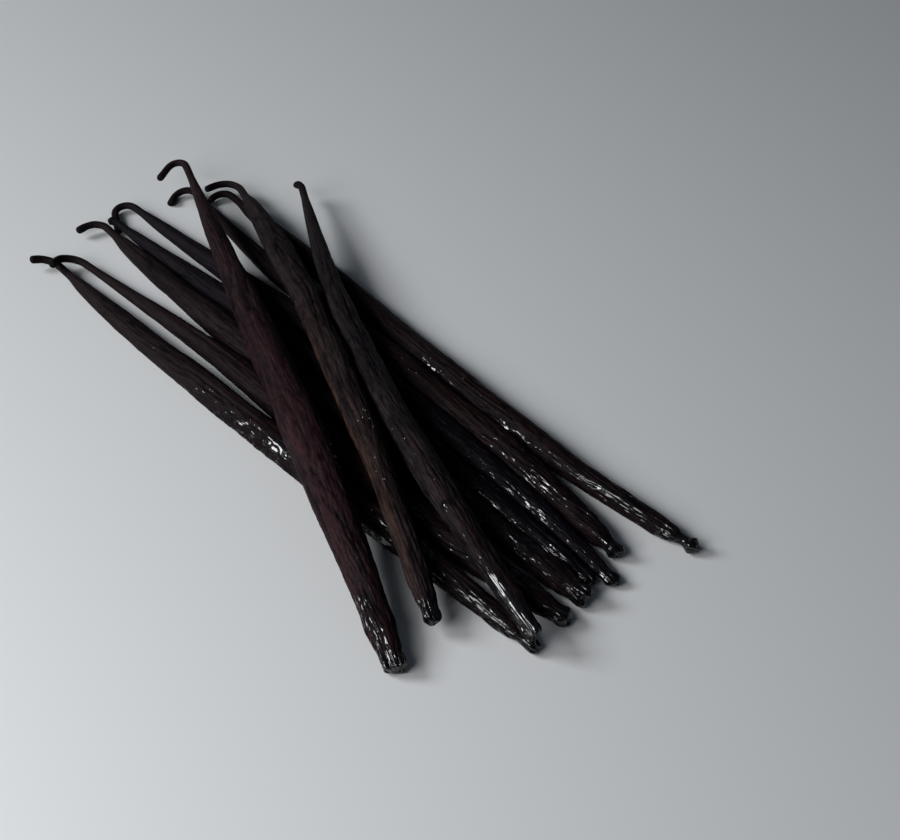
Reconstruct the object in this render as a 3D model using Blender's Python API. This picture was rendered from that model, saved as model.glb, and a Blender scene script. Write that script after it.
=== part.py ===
"""A loose fan-shaped bundle of ten cured vanilla pods, lying on a table.

Seven pods lie side by side on the table and three cross over them. Each pod is a long soft capsule:
a thin stem that ends in a crook and a small knob, a neck, a body that swells past its middle, and a
puckered tip. The plan of every pod is set by hand below. Their heights are not: the pods are laid
down together and sink on each other until they rest, so none of them cuts into its neighbour.
"""

import math
from typing import NamedTuple

import bmesh
import bpy
import numpy as np
from mathutils import Vector

MM = 0.001  # the sizes below are in millimetres, and the meshes are in metres

# ---- sizes that all pods share, mm ----
THICK_TO_WIDE = 0.88  # a cured pod is a little flatter than it is wide
STEM_RADIUS = 0.85
TAPER_POWER = 1.7  # above 1 the body keeps its width past the belly and narrows late
SHORT_SWELL, SHORT_WAVE = 0.026, 4.6  # swellings along the body: share of the width, and their pace
LONG_SWELL, LONG_WAVE = 0.034, 9.7
LIFT_SHARE = 0.30  # share of a pod's length, from its knob, over which it curves up by its lift
DROOP_SHARE = 0.45  # share of a pod's length, from its tip, over which it curves down by its droop
LIGHT_ENDS = 0.20  # weight of the thinnest stretch against the widest, while the pods settle
PINCH_PLACE = 4.2  # where a tip is drawn in, from its end
PINCH_SPREAD = 1.9
TIP_ROUNDING = 1.7  # length over which the tip rounds off to its end
KNOB_LENGTH = 1.6  # length of the swelling where the stem was cut from its stalk
KNOB_ROUNDING = 0.9  # length over which the knob rounds off, as a share of its radius
THREE_SIDED = 0.07  # how far the flats of the slightly three-sided body lie in
PRESSED_FLAT = 0.12  # how far the underside is squeezed up by the table
PRESS_EASE = 0.15  # height below which the underside eases off towards flat
CROSS_WRINKLE = 0.012  # share of the radius by which every other ring stands in

# ---- how finely a pod is divided ----
AROUND = 10
RINGS = 48
SAMPLES = 110  # balls in the row that stands for a pod while it settles
CROOK_SHARE = 0.24  # share of the rings that the crook and the stem get
TIP_SHARE = 0.17  # share of the rings that the puckered tip gets
TIP_LENGTH = 9.0
FIRST_RING = 0.35  # place of the knob's first ring, as a share of its even spacing
BODY_STEPS = 120  # points of a body's line before it is divided evenly
CROOK_SPACING = 0.8

# ---- how the pods settle ----
GAP = 0.42  # clear space kept between the rows of balls, which leaves about 0.3 between the skins
SETTLE_STEPS = 420
CLEARING_STEPS = 60  # last steps, without sag or stiffness, that clear what still overlaps
STIFFNESS = 350.0  # resistance to bending, against the sag of one step
SAG = 0.03  # how far the heaviest place of a pod sinks in one step, mm
HOLD_IN_PLAN = 0.97  # share of a sideways push that is kept in the next step
PUSH_SHARE = 0.55  # share of an overlap that each of the two balls gives way by
SEARCH_MARGIN = 4.0  # how much further apart than touching two balls may start and still be a pair


class Pod(NamedTuple):
    """One pod, seen from above. The crook is followed from the neck outwards."""

    name: str
    neck: tuple  # where the stem meets the body, x and y
    tip: tuple  # the far end of the body
    bow: float  # sideways bend of the body, to the left on the way to the tip
    sway: float  # S-shaped bend of the body
    width: float  # at the widest place
    belly: float  # where the widest place is, as a share of the way to the tip
    shoulder: float  # below 1 the body fills out fast behind the neck, above 1 slowly
    end_width: float  # width at the tip, as a share of the widest
    pinch: float  # how far the tip is drawn in before its end knob
    stalk: float  # straight stem before the crook
    curl: float  # angle that the crook turns through, degrees
    bend: float  # radius of the crook
    tail: float  # straight end after the crook
    tilt: float  # how far the crook leans up from lying flat, degrees
    lift: float  # how far the stem curves up by its end
    droop: float  # how far the tip curves down by its end
    knob: float  # radius of the knob at the stem's end
    drop_from: float  # height from which the pod is laid down
    colour: tuple


BLACK = (0.012, 0.008, 0.008)
BROWN = (0.026, 0.012, 0.010)
MAROON = (0.034, 0.011, 0.011)
GREYISH = (0.030, 0.022, 0.021)
RUSSET = (0.044, 0.018, 0.010)

PODS = (
    # the seven pods on the table, from the left edge of the fan to its right edge
    Pod("pod_left_edge", (-70, 39.5), (48, -74), -1.5, -0.5, 7.5, 0.56, 0.68, 0.54, 0.25,
        5.0, 85, 4.6, 1.3, 10, 4.3, 0.0, 1.15, 0.0, MAROON),
    Pod("pod_left_second", (-64.5, 42.3), (54.4, -66), -1.0, 2.2, 8.2, 0.66, 1.10, 0.56, 0.10,
        3.5, 120, 4.2, 3.2, 15, 1.6, 0.0, 1.25, 0.3, MAROON),
    Pod("pod_left_third", (-62.8, 58), (58.5, -60), -2.4, -0.5, 8.2, 0.60, 0.63, 0.64, 0.12,
        3.0, 100, 3.8, 2.4, -8, 4.0, 0.0, 1.25, 0.0, BROWN),
    Pod("pod_middle", (-60.5, 61), (59.5, -54.5), 1.6, 0.2, 7.1, 0.48, 0.80, 0.52, 0.15,
        2.0, 35, 5.0, 0.5, 5, 2.0, 0.0, 1.10, 1.2, BLACK),
    Pod("pod_right_third", (-58, 70), (64.3, -54.2), 4.9, -1.0, 6.8, 0.50, 0.80, 0.44, 0.10,
        2.5, 150, 2.9, 8.0, -12, 4.8, 0.0, 1.00, 0.0, BLACK),
    Pod("pod_right_second", (-41.3, 75.2), (65.1, -45.7), -0.3, -1.8, 6.9, 0.50, 0.90, 0.74, 0.20,
        6.5, 135, 3.2, 3.0, -18, 1.4, 0.0, 1.55, 0.0, BROWN),
    Pod("pod_right_edge", (-33.4, 78.0), (82.4, -41.6), -5.0, 1.6, 6.6, 0.66, 0.50, 0.56, 0.34,
        3.0, 120, 3.2, 1.2, -14, 3.4, 0.0, 0.95, 0.0, BROWN),
    # the three pods that cross over them
    Pod("pod_over_front", (-45.5, 77), (20.4, -82.9), -0.3, 0.0, 9.1, 0.60, 1.00, 0.56, 0.06,
        6.0, 140, 2.5, 5.5, -10, -0.8, 9.0, 1.05, 9.0, MAROON),
    Pod("pod_over_middle", (-31.4, 77), (27, -71.5), 2.1, 0.5, 7.1, 0.40, 0.60, 0.58, 0.12,
        4.0, 105, 4.6, 3.0, 5, -4.2, 8.0, 0.95, 9.0, RUSSET),
    Pod("pod_over_back", (-15.5, 76), (47.3, -74.3), -7.7, 0.0, 6.9, 0.55, 0.95, 0.60, 0.10,
        5.5, 80, 1.3, 1.0, 0, -2.0, 3.0, 1.20, 9.0, GREYISH),
)


def clear_scene():
    """Removes every object that the scene starts with."""
    for thing in list(bpy.data.objects):
        bpy.data.objects.remove(thing, do_unlink=True)


def left_of(direction):
    """The horizontal direction a quarter turn to the left of another."""
    return Vector((-direction.y, direction.x, 0.0)).normalized()


def body_line(pod, count):
    """Centre line of the body from neck to tip, before it settles: a straight line, bowed and swayed."""
    neck, tip = Vector((*pod.neck, 0.0)), Vector((*pod.tip, 0.0))
    left = left_of(tip - neck)
    line = []
    for index in range(count):
        way = index / (count - 1)
        aside = pod.bow * math.sin(math.pi * way) + pod.sway * math.sin(2 * math.pi * way)
        line.append(neck.lerp(tip, way) + left * aside)
    return line


def crook_line(pod, root, outwards, spacing):
    """Centre line of the stem from the neck outwards: straight, then round the crook, then its tail."""
    left = left_of(outwards)
    lean = math.radians(pod.tilt)
    inwards = left * math.cos(lean) + Vector((0, 0, math.sin(lean)))
    arc = math.radians(pod.curl) * pod.bend
    length = pod.stalk + arc + pod.tail
    steps = max(4, round(length / spacing))
    step = length / steps
    line, place = [], root.copy()
    for index in range(steps):
        run = (index + 0.5) * step
        turned = min(max(run - pod.stalk, 0.0), arc) / pod.bend
        place = place + (outwards * math.cos(turned) + inwards * math.sin(turned)) * step
        line.append(place)
    return line


def lengths_along(line):
    """Distance of each point of a line from its first point."""
    steps = np.linalg.norm(np.diff(line, axis=0), axis=1)
    return np.concatenate([[0.0], np.cumsum(steps)])


def at_lengths(line, lengths):
    """The points of a line at the given distances along it."""
    along = lengths_along(line)
    return np.stack([np.interp(lengths, along, line[:, axis]) for axis in range(3)], axis=1)


def centre_line(pod):
    """The whole centre line, from the knob through the crook and the body to the tip, evenly spaced."""
    body = body_line(pod, BODY_STEPS)
    outwards = (body[0] - body[2]).normalized()
    crook = crook_line(pod, body[0], outwards, CROOK_SPACING)
    line = np.array([tuple(place) for place in list(reversed(crook)) + body])
    way = np.linspace(0.0, 1.0, SAMPLES)
    line = at_lengths(line, way * lengths_along(line)[-1])
    line[:, 2] += pod.lift * np.clip(1 - way / LIFT_SHARE, 0.0, None) ** 2
    line[:, 2] -= pod.droop * np.clip(1 - (1 - way) / DROOP_SHARE, 0.0, None) ** 2
    return line


def stem_length(pod):
    """Length of the crook and the stem, from the knob's end to the neck."""
    return pod.stalk + math.radians(pod.curl) * pod.bend + pod.tail


def half_width(pod, along, total):
    """Half the width of a pod at a distance from its knob's end, before the ends are rounded off."""
    way = (along - stem_length(pod)) / (total - stem_length(pod))
    thin = STEM_RADIUS / (0.5 * pod.width)
    if way <= 0:
        share = thin
    elif way < pod.belly:
        share = thin + (1 - thin) * math.sin(0.5 * math.pi * (way / pod.belly) ** pod.shoulder)
    else:
        share = 1 - (1 - pod.end_width) * ((way - pod.belly) / (1 - pod.belly)) ** TAPER_POWER
    return 0.5 * pod.width * share * unevenness(pod, along, max(way, 0.0))


def unevenness(pod, along, way):
    """Slow swellings along the body: every pod dries into its own."""
    start = 7.0 * PODS.index(pod)
    waves = SHORT_SWELL * math.sin(along / SHORT_WAVE + start)
    waves += LONG_SWELL * math.sin(along / LONG_WAVE + 2.3 * start)
    return 1 + waves * min(1.0, 6 * way)


def rounded_radius(pod, along, total):
    """Half the width, with the knob swelling at the stem's end and the tip pinched and rounded off."""
    radius = half_width(pod, along, total)
    from_tip = total - along
    pinch = math.exp(-(((from_tip - PINCH_PLACE) / PINCH_SPREAD) ** 2))
    radius *= 1 - pod.pinch * pinch
    swell = math.exp(-((along / KNOB_LENGTH) ** 2))
    radius += (pod.knob - STEM_RADIUS) * swell
    radius *= quarter_circle(along / (KNOB_ROUNDING * pod.knob))
    return radius * quarter_circle(from_tip / TIP_ROUNDING)


def quarter_circle(share):
    """Height of a quarter circle at a share of its radius: 0 at its end, 1 from one radius on."""
    return math.sqrt(1 - (1 - min(max(share, 0.0), 1.0)) ** 2)


def settle(lines, radii):
    """Lets the pods sink until they rest on the table and on each other, as rows of balls.

    Upright sizes are stretched by the pods' flatness meanwhile, which makes their sections round.
    """
    count, samples = radii.shape
    shape = lines + np.array([[0.0, 0.0, pod.drop_from] for pod in PODS])[:, None, :]
    shape[..., 2] = shape[..., 2] / THICK_TO_WIDE + radii.max(axis=1)[:, None]
    second_difference = np.diff(np.eye(samples), 2, axis=0)
    ease = np.linalg.inv(np.eye(samples) + STIFFNESS * second_difference.T @ second_difference)
    pairs = pairs_in_reach(shape, radii)
    ground = radii - PRESSED_FLAT - shape[..., 2]
    fullness = (radii / radii.max(axis=1)[:, None]) ** 2
    heaviness = LIGHT_ENDS + (1 - LIGHT_ENDS) * fullness
    moved = np.zeros_like(shape)
    for step in range(SETTLE_STEPS + CLEARING_STEPS):
        if step < SETTLE_STEPS:
            moved[..., 2] -= SAG * heaviness
            moved[..., :2] *= HOLD_IN_PLAN
            moved = ease @ moved
        moved += pushes(shape + moved, *pairs)
        moved[..., 2] = np.maximum(moved[..., 2], ground)
    rested = shape + moved
    rested[..., 2] *= THICK_TO_WIDE
    return rested


def pairs_in_reach(shape, radii):
    """The balls of different pods that lie close enough in plan to touch, and how near they may come."""
    owner = np.repeat(np.arange(radii.shape[0]), radii.shape[1])
    plan, sizes = shape[..., :2].reshape(-1, 2), radii.reshape(-1)
    spaced = np.linalg.norm(plan[:, None, :] - plan[None, :, :], axis=2)
    reach = sizes[:, None] + sizes[None, :] + GAP
    near = (spaced < reach + SEARCH_MARGIN) & (owner[:, None] < owner[None, :])
    first, second = np.nonzero(near)
    return first, second, reach[first, second]


def pushes(places, first, second, reach):
    """How far each ball is pushed by the balls of other pods that it overlaps."""
    balls = places.reshape(-1, 3)
    offsets = balls[first] - balls[second]
    distances = np.linalg.norm(offsets, axis=1) + 1e-9
    overlaps = np.clip(reach - distances, 0.0, None)
    shoves = offsets * (PUSH_SHARE * overlaps / distances)[:, None]
    touching = np.zeros(len(balls))
    total = np.zeros_like(balls)
    for ends, sign in ((first, 1.0), (second, -1.0)):
        touching += np.bincount(ends, overlaps > 0, len(balls))
        for axis in range(3):
            total[:, axis] += sign * np.bincount(ends, shoves[:, axis], len(balls))
    return (total / np.maximum(touching, 1)[:, None]).reshape(places.shape)


def stations(total, stem):
    """Distances of the rings from the knob's end: close together in the crook and at the tip."""
    crook_rings = round(RINGS * CROOK_SHARE)
    tip_rings = round(RINGS * TIP_SHARE)
    body_rings = RINGS - crook_rings - tip_rings
    crook = np.linspace(0.0, stem, crook_rings + 1)[1:]
    crook[0] *= FIRST_RING
    body = np.linspace(stem, total - TIP_LENGTH, body_rings + 1)[1:]
    tip = total - TIP_LENGTH * np.cos(np.linspace(0.0, 0.5 * math.pi, tip_rings + 2))[1:-1]
    return np.concatenate([crook, body, tip])


def frames_along(line):
    """The tangent, side and top directions at each point, turned as little as possible along the line.

    They start level at the tip, so the body's flatter faces stay above and below.
    """
    tangents = np.gradient(line, axis=0)
    frames = []
    side = None
    for raw in reversed(tangents):
        tangent = Vector(raw).normalized()
        side = tangent.cross(Vector((0, 0, 1))) if abs(tangent.z) < 0.5 else side
        side = (side - tangent * side.dot(tangent)).normalized()
        if frames and side.dot(frames[-1][1]) < 0:
            side = -side
        frames.append((tangent, side, side.cross(tangent)))
    return list(reversed(frames))


def section_share(pod_index, angle, way):
    """Radius of the body's slightly three-sided section at an angle round it, as a share of the largest."""
    turned = 3 * angle + 1.7 * pod_index + 2.2 * way
    return 1 - THREE_SIDED * (0.5 - 0.5 * math.cos(turned))


def pressed(height):
    """Height of a point of the skin on the table: it eases off towards flat instead of going through."""
    return height if height > PRESS_EASE else PRESS_EASE * math.exp(height / PRESS_EASE - 1)


def make_skin(pod):
    """The pod's own cured skin: nearly black, with a soft shine."""
    skin = bpy.data.materials.new(pod.name + "_skin")
    skin.use_nodes = True
    finish = skin.node_tree.nodes["Principled BSDF"]
    finish.inputs["Base Color"].default_value = (*pod.colour, 1.0)
    finish.inputs["Roughness"].default_value = 0.38
    finish.inputs["Metallic"].default_value = 0.0
    return skin


def make_pod(pod, line, holder):
    """A closed sphere of rings, drawn out along the settled centre line into the pod."""
    total = lengths_along(line)[-1]
    distances = np.concatenate([[0.0], stations(total, stem_length(pod)), [total]])
    centres = at_lengths(line, distances)
    frames = frames_along(centres)
    index = PODS.index(pod)
    shell = bmesh.new()
    bmesh.ops.create_uvsphere(shell, u_segments=AROUND, v_segments=RINGS + 1, radius=1.0)
    for corner in shell.verts:
        ring = round(math.acos(max(-1.0, min(1.0, corner.co.z))) / math.pi * (RINGS + 1))
        angle = math.atan2(corner.co.y, corner.co.x) + math.pi / AROUND
        along = distances[ring]
        radius = rounded_radius(pod, along, total)
        radius *= section_share(index, angle, along / total) * (1 - CROSS_WRINKLE * (ring % 2))
        _, side, top = frames[ring]
        place = Vector(centres[ring]) - side * (radius * math.sin(angle))
        place += top * (radius * THICK_TO_WIDE * math.cos(angle))
        corner.co = Vector((place.x, place.y, pressed(place.z))) * MM
    mesh = bpy.data.meshes.new(pod.name)
    shell.to_mesh(mesh)
    shell.free()
    mesh.materials.append(make_skin(pod))
    mesh.shade_smooth()
    body = bpy.data.objects.new(pod.name, mesh)
    bpy.context.scene.collection.objects.link(body)
    body.parent = holder
    return body


def centre_on_origin(holder, pods):
    """Moves the holder so that the bundle's box stands centred on the origin, on the table."""
    corners = np.array([tuple(corner.co) for pod in pods for corner in pod.data.vertices])
    low, high = corners.min(axis=0), corners.max(axis=0)
    holder.location = (-0.5 * (low[0] + high[0]), -0.5 * (low[1] + high[1]), -low[2])
    print("bundle measures", [round(float(size / MM), 1) for size in high - low], "mm")


def build_bundle():
    """Lays the pods down together and makes each of them."""
    clear_scene()
    lines = np.array([centre_line(pod) for pod in PODS])
    radii = np.zeros(lines.shape[:2])
    for row, pod in enumerate(PODS):
        along = lengths_along(lines[row])
        radii[row] = [rounded_radius(pod, place, along[-1]) for place in along]
        print(pod.name, "length", round(along[-1], 1), "mm")
    rested = settle(lines, radii)
    holder = bpy.data.objects.new("bundle_middle", None)
    bpy.context.scene.collection.objects.link(holder)
    pods = [make_pod(pod, rested[row], holder) for row, pod in enumerate(PODS)]
    centre_on_origin(holder, pods)


build_bundle()
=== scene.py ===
# %% [markdown]
# # A bundle of cured vanilla pods
#
# Ten vanilla pods lie in a loose fan on a pale table: seven side by side, and three across them.
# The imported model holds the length, bend, width and place of every pod. This lesson gives them
# their real skin: furrows from drying, puckered tips, an oily shine, and a few vanillin crystals.

import math
from typing import NamedTuple

import bmesh
import bpy
import numpy as np
from mathutils import Matrix, Vector


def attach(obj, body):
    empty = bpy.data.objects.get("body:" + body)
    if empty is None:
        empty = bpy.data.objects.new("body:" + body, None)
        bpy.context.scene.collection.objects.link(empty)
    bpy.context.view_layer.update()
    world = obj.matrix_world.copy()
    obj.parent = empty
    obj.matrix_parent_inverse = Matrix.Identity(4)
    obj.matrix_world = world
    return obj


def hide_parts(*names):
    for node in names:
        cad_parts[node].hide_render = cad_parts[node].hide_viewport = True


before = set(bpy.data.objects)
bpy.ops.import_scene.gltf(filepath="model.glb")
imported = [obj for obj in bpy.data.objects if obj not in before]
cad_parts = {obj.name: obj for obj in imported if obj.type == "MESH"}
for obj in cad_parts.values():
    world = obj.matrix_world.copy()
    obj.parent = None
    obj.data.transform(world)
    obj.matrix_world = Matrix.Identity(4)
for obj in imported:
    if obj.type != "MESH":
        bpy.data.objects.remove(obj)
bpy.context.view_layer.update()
MM = 0.001
print("pods in the frame:", len(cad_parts))

# %% [markdown]
# ## Camera
#
# The bundle is seen from its tip side, from 40 degrees above the table, through a long lens, with
# the horizon turned a little. A camera looks down its own -Z axis, so three turns place it: one that
# tips it down, one that rolls it, and a step back along the line of sight.

# %% Camera
CAMERA_AIM = Vector((26.3, -3.8, 0.0)) * MM
CAMERA_DISTANCE = 417 * MM
CAMERA_HEIGHT_ANGLE = math.radians(40)
CAMERA_ROLL = math.radians(4.3)
LENS_MM = 72.0

camera_data = bpy.data.cameras.new("camera")
camera_data.lens = LENS_MM
camera_data.clip_start = 0.01
camera = bpy.data.objects.new("camera", camera_data)
bpy.context.scene.collection.objects.link(camera)
tip_down = Matrix.Rotation(math.pi / 2 - CAMERA_HEIGHT_ANGLE, 4, "X")
roll = Matrix.Rotation(CAMERA_ROLL, 4, "Z")
step_back = Matrix.Translation((0, 0, CAMERA_DISTANCE))
camera.matrix_world = Matrix.Translation(CAMERA_AIM) @ tip_down @ roll @ step_back
bpy.context.scene.camera = camera
print("camera stands at, mm:", [round(place / MM) for place in camera.matrix_world.translation])

# %% [markdown]
# ## The rings of a packed pod
#
# A packed pod is a closed skin of rings, one after another from the knob at its stem to its tip. The
# rings could be found by slicing, but a slice cuts a hooked stem twice. Walking over the mesh is
# safer: the two end points are the ones with the most edges, and each step outwards from the knob
# reaches exactly one ring.

# %% Reading the rings
SAME_PLACE = 1e-6
TOWARDS_STEMS = Vector((-1, 1, 0))


def packed_rings(node):
    """The rings of corners of a packed pod, from its knob to its tip."""
    shell = bmesh.new()
    shell.from_mesh(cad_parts[node].data)
    bmesh.ops.remove_doubles(shell, verts=shell.verts, dist=SAME_PLACE)
    shell.verts.index_update()
    ends = sorted(shell.verts, key=lambda corner: len(corner.link_edges))[-2:]
    ring = [max(ends, key=lambda corner: corner.co.dot(TOWARDS_STEMS))]
    reached, rings = set(ring), []
    while ring:
        rings.append(np.array([tuple(corner.co) for corner in ring]))
        beyond = {edge.other_vert(corner) for corner in ring for edge in corner.link_edges}
        ring = sorted(beyond - reached, key=lambda corner: corner.index)
        reached |= beyond
    shell.free()
    return rings

# %% [markdown]
# ## A smooth line through the rings
#
# The rings are a millimetre or more apart, so anything finer has to flow between them. A cubic
# Hermite curve does that: at each known place it keeps the value and the mean slope of its two
# neighbours, and it bends evenly between. The same curve serves for the middle of the pod, for its
# width along the way, and for its width round a ring.

# %% Smooth curves through known values
def smooth_curve(places, values, wanted):
    """Values at the wanted places, on a smooth curve through the known values."""
    slopes = np.gradient(values, places, axis=0)
    start = np.clip(np.searchsorted(places, wanted) - 1, 0, len(places) - 2)
    gap = places[start + 1] - places[start]
    way = (wanted - places[start]) / gap
    if values.ndim > 1:
        gap, way = gap[:, None], way[:, None]
    bend = way * way * (3 - 2 * way)
    leave = way * (1 - way) ** 2 * gap
    arrive = way * way * (way - 1) * gap
    ends = values[start] * (1 - bend) + values[start + 1] * bend
    return ends + slopes[start] * leave + slopes[start + 1] * arrive


def soft_step(value, low=0.0, high=1.0):
    """0 below low, 1 above high, and a soft S between."""
    way = np.clip((value - low) / (high - low), 0.0, 1.0)
    return way * way * (3 - 2 * way)


def unit(vectors):
    """Vectors of length one."""
    return vectors / np.linalg.norm(vectors, axis=-1, keepdims=True)


# %% [markdown]
# ## The fine grid of a pod
#
# Each pod gets a grid of fine rings, each with the same number of sides. Rings are closer together
# in the crook and at the tip, where the shape turns quickly, and closest where an end rounds off:
# there they follow a quarter circle, so that the round end has no flat disc at its pole.

# %% Rings and sides of the fine grid
SIDES = 96
RINGS = 480
CAP_RINGS = 16
RING_SHARES = (0.0, 0.15, 0.91, 1.0)
LENGTH_SHARES = (0.0, 0.11, 0.955, 1.0)
AROUND = np.arange(SIDES) / SIDES
TURNS = 2 * math.pi * AROUND
KNOB_CAP = 0.8 * MM


def ring_places(total, tip_cap):
    """Places of the fine rings along a pod, from its knob to its tip."""
    rise = 1 - np.cos(np.linspace(0, math.pi / 2, CAP_RINGS, endpoint=False))
    shares = np.linspace(0, 1, RINGS + 1 - 2 * CAP_RINGS)
    body = KNOB_CAP + np.interp(shares, RING_SHARES, LENGTH_SHARES) * (total - KNOB_CAP - tip_cap)
    return np.concatenate([KNOB_CAP * rise, body, total - tip_cap * rise[::-1]])


print("fine rings:", len(ring_places(180 * MM, 2 * MM)), "with", SIDES, "sides each")

# %% [markdown]
# ## The middle line and the directions round it
#
# Every ring needs a side and a top direction. They start level at the tip and are carried along the
# line with as little turning as possible, so that the furrows don't twist.

# %% The line of a pod
class PodLine(NamedTuple):
    """The middle line of a pod at its fine rings, and its radius at every point of the grid."""

    along: np.ndarray
    middles: np.ndarray
    tangents: np.ndarray
    sides: np.ndarray
    tops: np.ndarray
    radii: np.ndarray


def carried_frames(middles):
    """Tangent, side and top direction at each ring, carried from the tip to the knob."""
    tangents = unit(np.gradient(middles, axis=0))
    sides = np.empty_like(middles)
    side = np.cross(tangents[-1], (0, 0, 1))
    for ring in range(len(middles) - 1, -1, -1):
        side = unit(side - tangents[ring] * np.dot(side, tangents[ring]))
        sides[ring] = side
    return tangents, sides, np.cross(sides, tangents)


def ring_radii(ring, middle, side, top):
    """Radius of a packed ring at each fine side, on a smooth closed curve through its corners."""
    spokes = ring - middle
    turns = np.arctan2(spokes @ side, spokes @ top) % (2 * math.pi)
    order = np.argsort(turns)
    turns, radii = turns[order], np.linalg.norm(spokes[order], axis=1)
    full = 2 * math.pi
    turns = np.concatenate([turns - full, turns, turns + full])
    return smooth_curve(turns, np.tile(radii, 3), TURNS)


def pod_line(node, tip_cap):
    """The fine line and radii of a packed pod."""
    rings = packed_rings(node)
    centres = np.array([ring.mean(axis=0) for ring in rings])
    places = np.concatenate([[0], np.cumsum(np.linalg.norm(np.diff(centres, axis=0), axis=1))])
    along = ring_places(places[-1], tip_cap)
    middles = smooth_curve(places, centres, along)
    tangents, sides, tops = carried_frames(middles)
    coarse = []
    for place, centre, ring in zip(places[1:-1], centres[1:-1], rings[1:-1]):
        at = np.searchsorted(along, place)
        coarse.append(ring_radii(ring, centre, sides[at], tops[at]))
    coarse = np.array([coarse[0]] + coarse + [coarse[-1]])
    radii = smooth_curve(places, coarse, along)
    return PodLine(along, middles, tangents, sides, tops, radii)


# %% [markdown]
# ## Random relief that follows the fibres
#
# Dried skin falls into long strands. The relief is noise on the straightened pod: a lattice of
# random heights, long along the pod and narrow round it, joined by soft steps. Each strand is
# shifted along by its own random amount, so that no seam runs round the pod. It closes on itself
# after a full turn.

# %% Strands of random relief
def strands(draw, along, cell, count, drift=0.0):
    """Smooth random heights from -1 to 1 over a pod: `count` strands round it, cells long."""
    rows = int(along[-1] / cell) + 4
    lattice = draw.uniform(-1.0, 1.0, (rows, count))
    shifts = draw.uniform(0.0, 1.0, count)
    across = (AROUND[None, :] + drift) * count + np.zeros((len(along), 1))
    column = np.floor(across).astype(int)
    blend = soft_step(across - column)

    def strand(index):
        down = (along / cell)[:, None] + shifts[index]
        row = np.floor(down).astype(int)
        rise = soft_step(down - row)
        return lattice[row, index] * (1 - rise) + lattice[row + 1, index] * rise

    return strand(column % count) * (1 - blend) + strand((column + 1) % count) * blend


def creases(heights, sharpness):
    """Sharp valleys along the lines where smooth heights change sign: 0 to -1."""
    return -((1 - np.abs(heights)) ** sharpness)


# %% [markdown]
# ## What is particular to each pod
#
# No two pods dry alike. One is dull and grey, one has russet streaks down its left flank, and one is
# crumpled and wet where it was bent. Places are shares of the length, from the knob (0) to the tip
# (1), and directions are those that a flank faces, so both hold for any length and bend.

# %% The looks of each pod
LEFT_FLANK = (-0.80, -0.50, 0.30)
UPPER_LEFT = (-0.60, -0.40, 0.80)
UPPER_SIDE = (0.0, -0.2, 1.0)
TO_WINDOW = (-0.51, -0.48, 0.72)
RIGHT_FLANK = (0.80, 0.40, 0.45)


class Look(NamedTuple):
    """How the skin of one pod differs from the others."""

    seed: int
    slot: str
    skin: tuple  # colour of the open skin
    # On the front pod the streak fields paint glint lines, a painted highlight along its left flank.
    streak_and_glint: tuple  # colour of its streaks
    streak_and_glint_share: float  # how much of the skin is streaked
    streak_and_glint_side: tuple  # direction that the streaked flank faces
    streak_and_glint_from: float  # share of the length where the streaks start to show
    oily: float  # how wet the tip end is
    oily_from: float  # share of the length where the oil starts to show
    furrow: float  # depth of the furrows against the usual


MAROON = (0.0205, 0.0094, 0.0112)
BROWN = (0.0125, 0.0066, 0.0071)
# BLACK is the near-black skin of the two middle lower pods; its blue tint is painted shade for where
# they lie under the upper pods
BLACK = (0.0050, 0.0038, 0.0070)
GREY = (0.0165, 0.0132, 0.0142)
TAWNY = (0.0175, 0.0122, 0.0128)
RUSSET = (0.0750, 0.0380, 0.0240)
WARM = (0.0300, 0.0140, 0.0115)
WINE = (0.0360, 0.0110, 0.0135)

LOOKS = {
    "pod_left_edge": Look(11, "maroon_skin", BROWN, WARM, 0.4, UPPER_SIDE, 0.15, 0.9, 0.58, 1.0),
    "pod_left_second": Look(12, "maroon_skin", BROWN, WINE, 0.5, UPPER_SIDE, 0.15, 0.8, 0.60, 0.9),
    "pod_left_third": Look(13, "brown_skin", BROWN, WARM, 0.3, UPPER_SIDE, 0.15, 0.8, 0.64, 1.0),
    "pod_middle": Look(14, "black_skin", BLACK, WARM, 0.1, UPPER_SIDE, 0.15, 0.8, 0.64, 0.8),
    "pod_right_third": Look(15, "black_skin", BLACK, WINE, 0.2, UPPER_SIDE, 0.15, 0.8, 0.64, 1.0),
    "pod_right_second": Look(16, "brown_skin", BROWN, WARM, 0.5, UPPER_SIDE, 0.15, 0.8, 0.64, 1.1),
    "pod_right_edge": Look(17, "brown_skin", BROWN, WINE, 0.5, UPPER_SIDE, 0.15, 0.8, 0.64, 1.0),
    # front pod: its wine streaks on the left flank are painted glint lines
    "pod_over_front": Look(18, "maroon_skin", MAROON, WINE, 0.8, LEFT_FLANK, 0.15, 0.6, 0.75, 0.9),
    "pod_over_middle": Look(19, "russet_skin", TAWNY, RUSSET, 0.9, LEFT_FLANK, 0.35, 0.4, 0.80, 0.9),
    "pod_over_back": Look(20, "grey_skin", GREY, WINE, 0.8, UPPER_SIDE, 0.60, 0.6, 0.75, 0.9),
}

# %% [markdown]
# ## Tips
#
# Where the flower sat, a cured tip is drawn together into folds round a small scar. Some tips are
# blunt and square, some end in a round bead behind a narrow neck. A superellipse makes both: its
# power is 2 for a round end, and above 2 for a square one.

# %% The tips


class Tip(NamedTuple):
    """The shape of a pod's tip."""

    cap: float  # length over which it rounds off, mm
    square: float  # power of its superellipse
    folds: float  # depth of its folds, mm
    lobes: float  # how uneven its outline is, as a share of its radius
    ragged: float  # how far some lobes stand out past others, mm
    bead: float  # how far it swells behind its neck, as a share of its radius
    narrow: float  # how much it narrows towards its end, as a share of its radius


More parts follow.
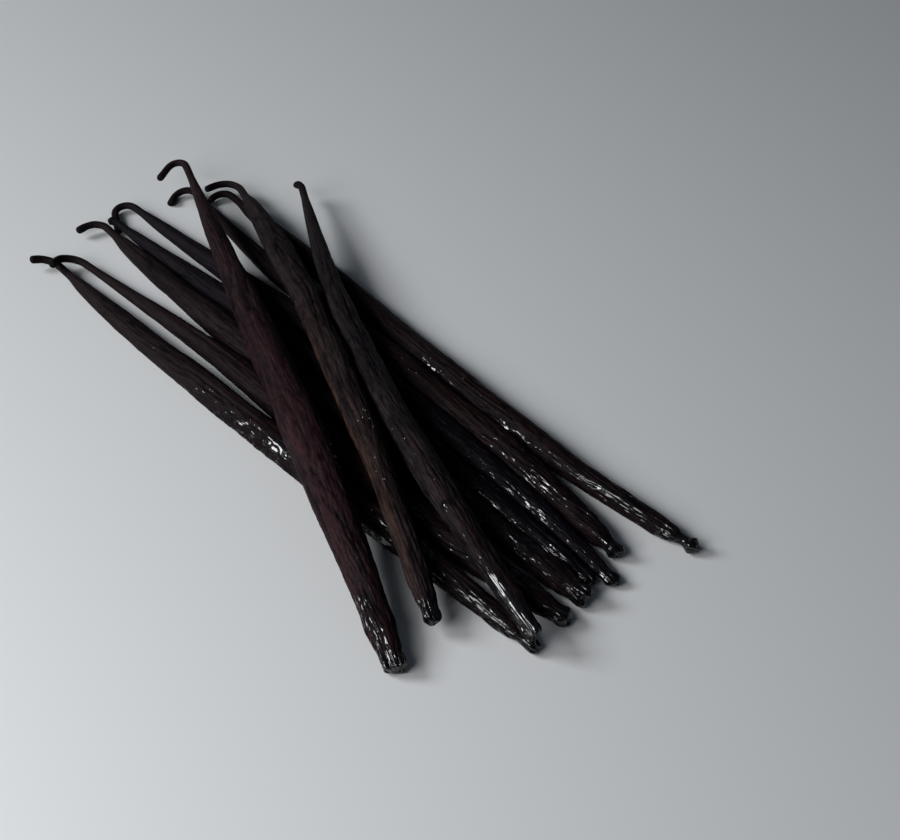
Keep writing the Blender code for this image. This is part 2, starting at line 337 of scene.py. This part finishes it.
TIPS = {
    "pod_left_edge": Tip(1.9, 2.2, 0.55, 0.20, 1.0, 0.00, 0.0),
    "pod_left_second": Tip(1.6, 2.0, 0.45, 0.16, 0.8, 0.15, 0.1),
    "pod_left_third": Tip(1.6, 2.2, 0.45, 0.16, 0.7, 0.10, 0.1),
    "pod_middle": Tip(1.8, 2.0, 0.45, 0.14, 0.6, 0.15, 0.1),
    "pod_right_third": Tip(2.6, 2.0, 0.40, 0.14, 0.6, 0.25, 0.0),
    "pod_right_second": Tip(1.8, 2.2, 0.50, 0.14, 0.6, 0.20, 0.25),
    "pod_right_edge": Tip(1.9, 2.0, 0.25, 0.10, 0.4, 0.42, 0.25),
    "pod_over_front": Tip(1.6, 3.0, 0.65, 0.14, 0.8, 0.00, 0.0),
    "pod_over_middle": Tip(2.0, 2.3, 0.60, 0.12, 0.6, 0.10, 0.0),
    "pod_over_back": Tip(1.8, 2.8, 0.55, 0.18, 0.9, 0.00, -0.2),
}

# %% [markdown]
# ## Single marks
#
# A few marks show on one pod only: a crease across it, a blister, a stretch of small lumps that was
# wetted. Each fades out from its middle as a bell curve does, along the pod and round it.

# %% The marks


class Mark(NamedTuple):
    """A dent, a bump, or a lumpy, flaky, smooth or wet stretch of skin."""

    share: float  # place of its middle along the pod
    facing: tuple  # direction that it faces
    length: float  # half-length along the pod, mm
    width: float  # half-width round the pod, mm
    height: float = 0.0  # how far it stands out, mm
    lumps: float = 0.0  # height of its small lumps, mm
    flakes: float = 0.0  # height of its sharp flakes, mm
    filled: float = 0.0  # how far oil fills its furrows, 0 to 1
    wet: float = 0.0  # how wet it is, 0 to 1


MARKS = {
    "pod_left_edge": (
        Mark(0.50, LEFT_FLANK, 21.0, 3.2, flakes=0.32, wet=0.37),
        Mark(0.56, UPPER_LEFT, 3.5, 2.0, lumps=0.08, filled=0.7, wet=1.0),
        Mark(0.92, TO_WINDOW, 10.0, 1.8, lumps=0.05, wet=0.8),
    ),
    "pod_middle": (
        Mark(0.81, UPPER_LEFT, 12.0, 1.8, filled=0.6, wet=0.5),
        Mark(0.94, TO_WINDOW, 6.0, 1.8, wet=0.75),
    ),
    "pod_right_third": (Mark(0.87, UPPER_LEFT, 8.0, 2.0, lumps=0.08, wet=0.6),),
    "pod_right_second": (Mark(0.865, UPPER_LEFT, 8.0, 2.0, lumps=0.06, wet=0.50),),
    "pod_right_edge": (
        Mark(0.56, LEFT_FLANK, 10.0, 1.4, lumps=0.12, wet=0.42),
        Mark(0.72, LEFT_FLANK, 12.0, 1.5, lumps=0.14, wet=0.60),
        Mark(0.87, TO_WINDOW, 14.0, 1.4, lumps=0.04, filled=0.3, wet=0.85),
        Mark(0.96, UPPER_LEFT, 3.5, 2.0, lumps=0.14, wet=0.9),
    ),
    "pod_over_front": (
        Mark(0.865, UPPER_SIDE, 8.0, 0.9, lumps=0.12, wet=0.55),
        Mark(0.95, UPPER_LEFT, 7.0, 2.6, lumps=0.04, wet=0.55),
    ),
    "pod_over_middle": (
        Mark(0.43, UPPER_SIDE, 0.7, 1.0, height=-0.30, wet=0.3),
        Mark(0.985, UPPER_SIDE, 3.0, 4.0, lumps=0.12, wet=0.8),
    ),
    "pod_over_back": (
        Mark(0.44, UPPER_LEFT, 0.7, 3.0, height=-0.30),
        Mark(0.79, UPPER_LEFT, 1.3, 0.9, height=0.40, wet=1.0),
        Mark(0.960, TO_WINDOW, 12.0, 1.9, height=-0.50, filled=0.9, wet=1.1),
    ),
}


def fade(line, spokes, mark):
    """How strongly a mark shows at each point of the grid, from 0 to 1."""
    facing = np.array(mark.facing) - line.tangents * (line.tangents @ np.array(mark.facing))[:, None]
    turned = np.arccos(np.clip(np.einsum("rsk,rk->rs", spokes, unit(facing)), -1, 1))
    round_it = turned * line.radii.mean(axis=1)[:, None] / (mark.width * MM)
    down_it = (line.along - mark.share * line.along[-1])[:, None] / (mark.length * MM)
    return np.exp(-(round_it**2) - down_it**2)


print("single marks:", sum(len(marks) for marks in MARKS.values()))

# %% [markdown]
# ## The relief of a pod
#
# Drying shrinks a pod in steps. First its round body falls into broad folds, then the skin between
# the stiff strands sinks into furrows, and at last it wrinkles finely, along and across. All depths
# shrink with the radius, so that the thin stem stays smooth.

# %% Relief of the skin
BODY_RADIUS = 3.3 * MM
DENT, FOLD, FURROW, FINE_FURROW = 0.16 * MM, 0.34 * MM, 0.32 * MM, 0.17 * MM
GRAIN, CROSS = 0.06 * MM, 0.09 * MM
PLUMP = 0.17 * MM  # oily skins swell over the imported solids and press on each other
WANDER = 0.07


class Relief(NamedTuple):
    """The skin of a pod over its smooth shape."""

    height: np.ndarray
    # the finish paints shade by hollow: the deeper a point lies in a furrow, the darker it is painted
    hollow: np.ndarray  # how deep in a furrow a point lies, 0 to 1
    wet: np.ndarray  # how wet its marks make it, 0 to 1


def skin_relief(line, look, spokes, marks):
    """The relief of a pod, with its single marks."""
    draw = np.random.default_rng(look.seed)
    along, total = line.along, line.along[-1]
    mean = line.radii.mean(axis=1)[:, None]
    wander = WANDER * strands(draw, along, 25 * MM, 1)
    dents = strands(draw, along, 13 * MM, 5, wander)
    folds = creases(strands(draw, along, 24 * MM, 8, wander), 2)
    furrows = creases(strands(draw, along, 13 * MM, 15, wander), 5)
    between = creases(strands(draw, along, 6 * MM, 31, 0.5 * wander), 3)
    grain = strands(draw, along, 1.6 * MM, 44, wander)
    cross = creases(strands(draw, along, 1.9 * MM, 7, wander), 4)
    uneven = 0.65 + 0.5 * strands(draw, along, 19 * MM, 4)
    near_tip = np.exp(-(((total - along) / (9 * MM)) ** 2))[:, None]
    height = DENT * dents + FOLD * folds + look.furrow * FURROW * furrows * uneven
    wrinkles = FINE_FURROW * between * (1.3 - 0.5 * uneven) + GRAIN * grain
    height = height + wrinkles * (0.7 + 0.9 * soft_step(along / total, 0.5, 0.85))[:, None]
    height = height + CROSS * cross * (0.5 + 1.5 * near_tip)
    lumps = strands(draw, along, 1.3 * MM, 19) + 0.6 * strands(draw, along, 0.8 * MM, 31)
    flakes = creases(strands(draw, along, 2.5 * MM, 11), 2)
    flakes = flakes + 0.6 * creases(strands(draw, along, 1.3 * MM, 23), 2)
    wet = np.zeros_like(height)
    marked = np.zeros_like(height)
    filled = np.zeros_like(height)
    for mark in marks:
        here = fade(line, spokes, mark)
        bumps = mark.height + mark.lumps * lumps + mark.flakes * flakes
        marked = marked + here * bumps * MM
        filled = np.maximum(filled, here * mark.filled)
        wet = np.maximum(wet, here * mark.wet)
    hollow = -(0.60 * furrows + 0.50 * between + 0.25 * folds + 0.3 * cross) - 0.15 * grain - 0.28
    body = soft_step(mean, 0.9 * MM, 2.2 * MM)
    depth = (body + 0.25 * (1 - body)) * np.minimum(1.0, mean / BODY_RADIUS)
    height = (height - height.mean()) * depth * (1 - filled)
    return Relief(height + marked * body + PLUMP, np.clip(hollow, 0.0, 1.0) * body, wet)


# %% [markdown]
# ## Rounding off the ends
#
# Towards each end the radius follows its superellipse to zero. At the tip the skin also falls into
# folds of uneven width, the outline grows lobes, some lobes stand out past others, and the scar in
# the middle sinks in.

# %% The two ends
FOLD_REACH, LOBE_REACH, RAGGED_REACH = 4.5 * MM, 3.0 * MM, 1.6 * MM
BEAD_PLACE, BEAD_SPREAD, NARROW_REACH = 1.7 * MM, 1.3 * MM, 5.0 * MM
SCAR, SCAR_WIDTH = 0.45 * MM, 0.42


def superellipse(share, power):
    """Height of a superellipse: 0 at its end, 1 from one radius on."""
    return (1 - (1 - np.clip(share, 0.0, 1.0)) ** power) ** (1 / power)


def round_off(line, radii, tip, seed):
    """Radii with both ends rounded off, and how far each point moves along the pod."""
    draw = np.random.default_rng(seed)
    from_tip = (line.along[-1] - line.along)[:, None]
    rounding = superellipse(line.along[:, None] / KNOB_CAP, 2)
    to_tip = superellipse(from_tip / (tip.cap * MM), tip.square)
    folds = creases(strands(draw, line.along, 40 * MM, 9), 2)
    folds = folds + 0.5 * creases(strands(draw, line.along, 5 * MM, 21), 2)
    lobes = strands(draw, line.along, 30 * MM, 5)
    pleat = tip.folds * MM * folds * np.exp(-((from_tip / FOLD_REACH) ** 2)) * soft_step(to_tip)
    bead = tip.bead * np.exp(-(((from_tip - BEAD_PLACE) / BEAD_SPREAD) ** 2))
    swell = 1 + bead + tip.lobes * lobes * np.exp(-((from_tip / LOBE_REACH) ** 2))
    swell = swell - tip.narrow * np.exp(-((from_tip / NARROW_REACH) ** 2))
    radii = (radii * swell + pleat) * rounding * to_tip
    past = strands(draw, line.along, 60 * MM, 6) * np.exp(-((from_tip / RAGGED_REACH) ** 2))
    scar = SCAR * np.exp(-((to_tip / SCAR_WIDTH) ** 2))
    return np.maximum(radii, 0.0), tip.ragged * MM * past * soft_step(to_tip, 0.0, 0.8) - scar


# %% [markdown]
# ## From grid to mesh
#
# A sphere of rings has the same grid as a pod: two end points and rings of equal sides between. So
# each pod starts as bmesh's UV sphere, and its points move to their places, as a sculptor would pull
# it out.

# %% A sphere with the pod's grid
def sphere_grid(name):
    """A mesh of a sphere with the grid's rings and sides, and the ring and side of each point."""
    shell = bmesh.new()
    bmesh.ops.create_uvsphere(shell, u_segments=SIDES, v_segments=RINGS, radius=1.0)
    mesh = bpy.data.meshes.new(name)
    shell.to_mesh(mesh)
    shell.free()
    points = np.zeros(len(mesh.vertices) * 3)
    mesh.vertices.foreach_get("co", points)
    points = points.reshape(-1, 3)
    ring = np.rint(np.arccos(np.clip(points[:, 2], -1, 1)) / math.pi * RINGS).astype(int)
    side = np.rint(np.arctan2(points[:, 1], points[:, 0]) / (2 * math.pi) * SIDES).astype(int)
    return mesh, ring, side % SIDES


def keep_at_points(mesh, name, values):
    """Stores a number or a vector for each point of a mesh, under a name."""
    kind, field = ("FLOAT", "value") if values.ndim == 1 else ("FLOAT_VECTOR", "vector")
    attribute = mesh.attributes.new(name, kind, "POINT")
    attribute.data.foreach_set(field, values.astype(np.float32).ravel())


# %% [markdown]
# ## What the finish needs to know
#
# A few things are kept at every point for the finish: its place on the straightened pod, how deep it
# lies in a furrow, where shade is painted, how oily it is, how much it carries streaks, which on the
# front pod are painted glint lines, and how dry it is, where a grey sheen is painted.

# %% Maps over the skin
TIP_WET = 7 * MM
DARK_TIP, DARK_STEM = 4 * MM, 8 * MM


def straightened(line, radii):
    """Each point's place on the pod laid out straight."""
    across = [radii * np.cos(TURNS)[None, :], radii * np.sin(TURNS)[None, :]]
    return np.stack(across + [np.repeat(line.along[:, None], SIDES, axis=1)], axis=-1)


def skin_maps(line, look, spokes, relief):
    """How oily, streaked and glinting, dry and sheened, and shaded the skin is, each from 0 to 1."""
    draw = np.random.default_rng(look.seed + 100)
    share = (line.along / line.along[-1])[:, None]
    patchy = 0.5 + 0.5 * strands(draw, line.along, 6 * MM, 5)
    fine_patchy = 0.5 + 0.5 * strands(draw, line.along, 2.5 * MM, 13)
    oily = look.oily * soft_step(share, look.oily_from, look.oily_from + 0.2)
    oily = oily * (0.25 + 0.75 * patchy * fine_patchy)
    at_tip = np.exp(-(((line.along[-1] - line.along) / TIP_WET) ** 2))[:, None]
    oily = np.maximum(np.maximum(oily, 0.6 * at_tip * (0.5 + fine_patchy)), relief.wet)
    # streaks show on one flank; on the front pod they are painted glint lines
    flank = np.clip(spokes @ unit(np.array(look.streak_and_glint_side)), 0.0, 1.0)
    fibres = strands(draw, line.along, 22 * MM, 31) + 0.5 * strands(draw, line.along, 9 * MM, 60)
    streak_and_glint = look.streak_and_glint_share * soft_step(fibres, -0.3, 0.9) * flank**2
    streak_and_glint = streak_and_glint * soft_step(share, look.streak_and_glint_from, look.streak_and_glint_from + 0.2)
    # dry makes the skin near the stem rougher, and also sets where a grey sheen is painted on it
    dry = (1 - soft_step(share, 0.15, 0.7)) * (0.6 + 0.4 * patchy)
    dark_tip = 0.8 * np.exp(-(((line.along[-1] - line.along) / DARK_TIP) ** 2))[:, None]
    dark_stem = 0.65 * np.exp(-((line.along / DARK_STEM) ** 2))[:, None]
    # hollow: painted shade in the furrows, and the darker last millimetres at the tip and the stem
    hollow = np.maximum(np.maximum(relief.hollow, dark_tip), dark_stem)
    return {"oily": oily, "streak_and_glint": streak_and_glint, "dry": dry, "hollow": hollow}


# %% Making a pod
PRESS_EASE = 0.12 * MM


class Skin(NamedTuple):
    """A finished pod, with its grid of places and the way out at each of them."""

    pod: bpy.types.Object
    line: PodLine
    places: np.ndarray
    spokes: np.ndarray


def make_pod(node):
    """The visible pod for a packed one."""
    look, tip = LOOKS[node], TIPS[node]
    line = pod_line(node, tip.cap * MM)
    spokes = line.tops[:, None, :] * np.cos(TURNS)[None, :, None]
    spokes = spokes - line.sides[:, None, :] * np.sin(TURNS)[None, :, None]
    relief = skin_relief(line, look, spokes, MARKS.get(node, ()))
    radii, past = round_off(line, line.radii + relief.height, tip, look.seed + 200)
    places = line.middles[:, None, :] + spokes * radii[..., None]
    places = places + line.tangents[:, None, :] * past[..., None]
    height = places[..., 2]
    pressed = PRESS_EASE * np.exp(np.minimum(height / PRESS_EASE, 1.0) - 1)
    places[..., 2] = np.where(height > PRESS_EASE, height, pressed)
    mesh, ring, side = sphere_grid(node + "_skin")
    mesh.vertices.foreach_set("co", places[ring, side].ravel())
    keep_at_points(mesh, "straight", straightened(line, radii)[ring, side])
    for name, values in skin_maps(line, look, spokes, relief).items():
        keep_at_points(mesh, name, np.clip(values + 0 * radii, 0.0, 1.0)[ring, side])
    mesh.shade_smooth()
    pod = bpy.data.objects.new(node + "_skin", mesh)
    bpy.context.scene.collection.objects.link(pod)
    return Skin(pod, line, places, spokes)


skins = {node: make_pod(node) for node in sorted(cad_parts)}
print("triangles:", sum(2 * len(skin.pod.data.polygons) for skin in skins.values()))

# %% [markdown]
# ## Vanillin crystals
#
# Good pods sweat vanillin, which dries to tiny white crystals in loose clusters. Each crystal is an
# icosahedron pressed flatter one way, sunk a little into the skin. They are one joined piece.

# %% The crystals
CRYSTAL_SIZES = (0.05 * MM, 0.12 * MM)


class Cluster(NamedTuple):
    """A loose cluster of crystals on one pod."""

    node: str
    share: float
    facing: tuple
    spread: float  # mm
    count: int


CLUSTERS = (
    Cluster("pod_over_front", 0.71, RIGHT_FLANK, 5.0, 9),
    Cluster("pod_over_middle", 0.68, UPPER_SIDE, 4.0, 7),
    Cluster("pod_over_middle", 0.78, UPPER_LEFT, 3.0, 4),
    Cluster("pod_left_edge", 0.42, UPPER_LEFT, 2.0, 3),
    Cluster("pod_left_edge", 0.48, UPPER_LEFT, 4.0, 6),
    Cluster("pod_left_edge", 0.71, UPPER_SIDE, 4.0, 6),
    Cluster("pod_left_second", 0.66, UPPER_SIDE, 5.0, 5),
    Cluster("pod_right_third", 0.41, UPPER_SIDE, 4.0, 4),
    Cluster("pod_right_edge", 0.52, UPPER_LEFT, 4.0, 4),
    Cluster("pod_right_edge", 0.61, UPPER_LEFT, 4.0, 4),
    Cluster("pod_right_second", 0.60, UPPER_LEFT, 6.0, 5),
    Cluster("pod_over_back", 0.66, UPPER_LEFT, 6.0, 5),
)


def skin_point(skin, place, facing):
    """Where the skin lies at a place along a pod, on the flank that faces a way."""
    ring = min(np.searchsorted(skin.line.along, place), RINGS)
    side = int(np.argmax(skin.spokes[ring] @ facing))
    return Vector(skin.places[ring, side]), Vector(skin.spokes[ring, side])


def add_cluster(crumbs, cluster, draw):
    """Adds one cluster's crystals to a mesh."""
    skin = skins[cluster.node]
    middle = cluster.share * skin.line.along[-1]
    for place in middle + draw.normal(0.0, cluster.spread * MM, cluster.count):
        facing = unit(np.array(cluster.facing)) + draw.normal(0.0, 0.3, 3)
        spot, outwards = skin_point(skin, place, facing)
        size = draw.uniform(*CRYSTAL_SIZES)
        flat = Matrix.Diagonal((*draw.uniform(0.5, 1.2, 3), 1.0))
        turn = Matrix.Rotation(draw.uniform(0, 2 * math.pi), 4, Vector(draw.normal(size=3)))
        at = Matrix.Translation(spot + outwards * 0.4 * size)
        bmesh.ops.create_icosphere(crumbs, subdivisions=1, radius=size, matrix=at @ turn @ flat)


def make_crystals():
    """All the crystals, as one piece."""
    draw = np.random.default_rng(31)
    crumbs = bmesh.new()
    for cluster in CLUSTERS:
        add_cluster(crumbs, cluster, draw)
    mesh = bpy.data.meshes.new("vanillin_crystals")
    crumbs.to_mesh(mesh)
    crumbs.free()
    crystals = bpy.data.objects.new("vanillin_crystals", mesh)
    bpy.context.scene.collection.objects.link(crystals)
    return crystals


crystals = make_crystals()
print("crystals:", sum(cluster.count for cluster in CLUSTERS))

# %% [markdown]
# ## Shader maths in Python
#
# A finish is a graph of nodes. Written as sums and products it reads like the rule it follows, so a
# small class wraps an output socket and adds a Math node for each operator. Any other node comes
# from one method, which sets the node's settings first and then its inputs.

# %% Shader maths
class Wire:
    """An output socket that can be added, subtracted and multiplied."""

    def __init__(self, finish, socket):
        self.finish, self.socket = finish, socket

    def maths(self, operation, first, second):
        return self.finish.node("ShaderNodeMath", {"operation": operation}, {0: first, 1: second})

    def __add__(self, other):
        return self.maths("ADD", self, other)

    def __sub__(self, other):
        return self.maths("SUBTRACT", self, other)

    def __mul__(self, other):
        return self.maths("MULTIPLY", self, other)

    def __rsub__(self, other):
        return self.maths("SUBTRACT", other, self)

    __radd__ = __add__
    __rmul__ = __mul__


class Finish:
    """A material, and the one method that adds a node to it."""

    def __init__(self, name):
        self.material = bpy.data.materials.new(name)
        self.material.use_nodes = True
        self.tree = self.material.node_tree
        self.surface = self.tree.nodes["Principled BSDF"]

    def node(self, kind, settings, inputs, output=0):
        """Adds a node, sets it up, feeds its sockets, and returns one of its outputs."""
        node = self.tree.nodes.new(kind)
        for name, value in settings.items():
            setattr(node, name, value)
        self.feed(node, inputs)
        return Wire(self, node.outputs[output])

    def feed(self, node, inputs):
        """Links wires to a node's sockets and sets plain values on them."""
        for socket, value in inputs.items():
            if isinstance(value, Wire):
                self.tree.links.new(value.socket, node.inputs[socket])
            else:
                node.inputs[socket].default_value = value

    def kept(self, name, output):
        """Something stored at the points of the mesh."""
        return self.node("ShaderNodeAttribute", {"attribute_name": name}, {}, output)

    def noise(self, place, stretch, scale, detail, roughness=0.5):
        """Noise at a place, stretched by different amounts along its three directions."""
        spread = self.node("ShaderNodeVectorMath", {"operation": "MULTIPLY"}, {0: place, 1: stretch})
        inputs = {"Vector": spread, "Scale": scale, "Detail": detail, "Roughness": roughness}
        return self.node("ShaderNodeTexNoise", {}, inputs, "Fac")

    def rise(self, value, low, high):
        """0 where a value is below low, 1 above high, and a ramp between."""
        return self.node("ShaderNodeMapRange", {}, {0: value, 1: low, 2: high})

    def mix(self, share, first, second):
        """A blend of two colours."""
        settings = {"data_type": "RGBA"}
        return self.node("ShaderNodeMix", settings, {"Factor": share, 6: first, 7: second}, 2)


# %% [markdown]
# ## The skin
#
# Cured skin is nearly black with a red-brown depth. Shade is painted into the furrows, and the last
# millimetres of both ends are darker. Stretched strands are warmer, and on the front pod the same
# streaks are painted glint lines along its left flank. Towards the stem, where it has dried and lost
# its oil, a grey sheen is painted on. The colour is lighter on the raised fibres of the bump, a
# painted highlight, and darker between them, a painted shade. Oil lies on it as a thin wet coat,
# broken up by the grain. The finest grain is too small to model, so a bump map carries it, lengthwise
# like the strands.

# %% The finish of a pod's skin
ALONG_GRAIN = (1.0, 1.0, 0.09)
GLINTS = (1.0, 1.0, 0.28)
EVEN = (1.0, 1.0, 1.0)
# painted grey sheen for the dried stem end
DRY_GREY_SHEEN = (0.0140, 0.0115, 0.0128)
# painted shade: a blue-tinted near-black laid into the furrows, which also darkens both ends
FURROW_SHADE_AND_DARK_ENDS = (0.0011, 0.0009, 0.0020)
# wet skin is darker; the blue tint of SOAKED is painted shade
SOAKED = (0.0028, 0.0019, 0.0030)


def colour(shade):
    """A colour as a socket wants it."""
    return (*shade, 1.0)


def skin_finish(node):
    """The finish of one pod."""
    look, finish = LOOKS[node], Finish(node + "_finish")
    straight = finish.kept("straight", "Vector")
    hollow, oily = finish.kept("hollow", "Fac"), finish.kept("oily", "Fac")
    streak_and_glint, dry = finish.kept("streak_and_glint", "Fac"), finish.kept("dry", "Fac")
    fibre = finish.noise(straight, ALONG_GRAIN, 2200.0, 4.0, 0.6)
    blotch = finish.noise(straight, (1.0, 1.0, 0.35), 260.0, 3.0)
    speckle = finish.noise(straight, EVEN, 1500.0, 2.0)
    glint = finish.noise(straight, GLINTS, 2000.0, 3.0, 0.6)
    # the colour follows the bump's fibres: lighter on their raised ridges, a painted highlight, and
    # darker between them, a painted shade; blotches add uneven tone
    lines = finish.rise(fibre, 0.44, 0.68)
    dim, bright = [0.15 * part for part in look.skin], [2.10 * part for part in look.skin]
    tone = finish.mix(blotch * 0.45 + lines * 0.55, colour(dim), colour(bright))
    # streaks, and on the front pod painted glint lines, strongest on the light fibres
    tone = finish.mix(streak_and_glint * (lines * 0.7 + 0.3), tone, colour(look.streak_and_glint))
    # painted grey sheen towards the stem, where the skin has dried
    tone = finish.mix(dry * 0.5, tone, colour(DRY_GREY_SHEEN))
    tone = finish.mix(oily * 1.5, tone, colour(SOAKED))
    # painted shade in the furrows, and the darker ends
    tone = finish.mix(hollow * 0.9, tone, colour(FURROW_SHADE_AND_DARK_ENDS))
    grain = finish.node(
        "ShaderNodeBump",
        {},
        {"Strength": 1.0, "Distance": 0.20 * MM, "Height": fibre + speckle * 0.4},
        "Normal",
    )
    finish.feed(
        finish.surface,
        {
            "Base Color": tone,
            "Roughness": 0.48 + dry * 0.12 - oily * 0.08 + (speckle - 0.5) * 0.2,
            "Coat Weight": finish.rise(glint + oily * 0.5, 0.73, 0.83),
            "Coat Roughness": 0.13,
            "Coat IOR": 1.6,
            "Specular IOR Level": 0.04,
            "Normal": grain,
        },
    )
    return finish.material


for node, skin in skins.items():
    skin.pod.data.materials.append(skin_finish(node))
    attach(skin.pod, "root")
    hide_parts(node)

# %% The finish of the crystals
icy = Finish("crystal_finish")
frost = icy.noise(icy.node("ShaderNodeTexCoord", {}, {}, "Object"), EVEN, 4000.0, 2.0)
icy.feed(
    icy.surface,
    {
        "Base Color": icy.mix(frost, colour((0.45, 0.43, 0.40)), colour((0.85, 0.84, 0.80))),
        "Roughness": 0.15 + frost * 0.2,
    },
)
crystals.data.materials.append(icy.material)
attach(crystals, "root")

# %% [markdown]
# ## Table and light
#
# The table is a plain satin surface. Two lights do the work. A broad soft one stands low over the
# near left corner: it lights the table, brightest there, but it stands where the pods can't mirror
# it, so they stay dark. A smaller one stands at the left, a little behind: its reflection runs along
# the left flank of every pod and breaks up into glints on the furrows.

# %% Table
table_mesh = bpy.data.meshes.new("table")
sheet = bmesh.new()
bmesh.ops.create_grid(sheet, x_segments=1, y_segments=1, size=3.0)
sheet.to_mesh(table_mesh)
sheet.free()
table = bpy.data.objects.new("table", table_mesh)
bpy.context.scene.collection.objects.link(table)
satin = Finish("satin_table")
satin.feed(satin.surface, {"Base Color": colour((0.70, 0.715, 0.725)), "Roughness": 0.45})
table_mesh.materials.append(satin.material)


# %% Lights
def soft_light(name, azimuth, elevation, distance, width, height, power, tint):
    """A rectangular light that faces the bundle, placed by its angles round it, in degrees."""
    panel = bpy.data.lights.new(name, "AREA")
    panel.shape = "RECTANGLE"
    panel.size, panel.size_y = width, height
    panel.energy, panel.color = power, tint
    lamp = bpy.data.objects.new(name, panel)
    turn = Matrix.Rotation(math.radians(azimuth), 4, "Z")
    lean = Matrix.Rotation(math.radians(90 - elevation), 4, "X")
    lamp.matrix_world = turn @ lean @ Matrix.Translation((0, 0, distance))
    lamp.visible_camera = False
    bpy.context.scene.collection.objects.link(lamp)
    return lamp


soft_light("over_the_near_corner", -38, 32, 0.42, 0.25, 0.20, 1.0, (1.0, 0.995, 0.99))
soft_light("window", -88, 33, 0.85, 0.36, 0.30, 5.2, (0.98, 0.99, 1.0))

world = bpy.data.worlds.new("room")
world.use_nodes = True
world.node_tree.nodes["Background"].inputs["Color"].default_value = (0.70, 0.83, 1.0, 1.0)
world.node_tree.nodes["Background"].inputs["Strength"].default_value = 0.05
bpy.context.scene.world = world
bpy.context.scene.view_settings.view_transform = "Standard"
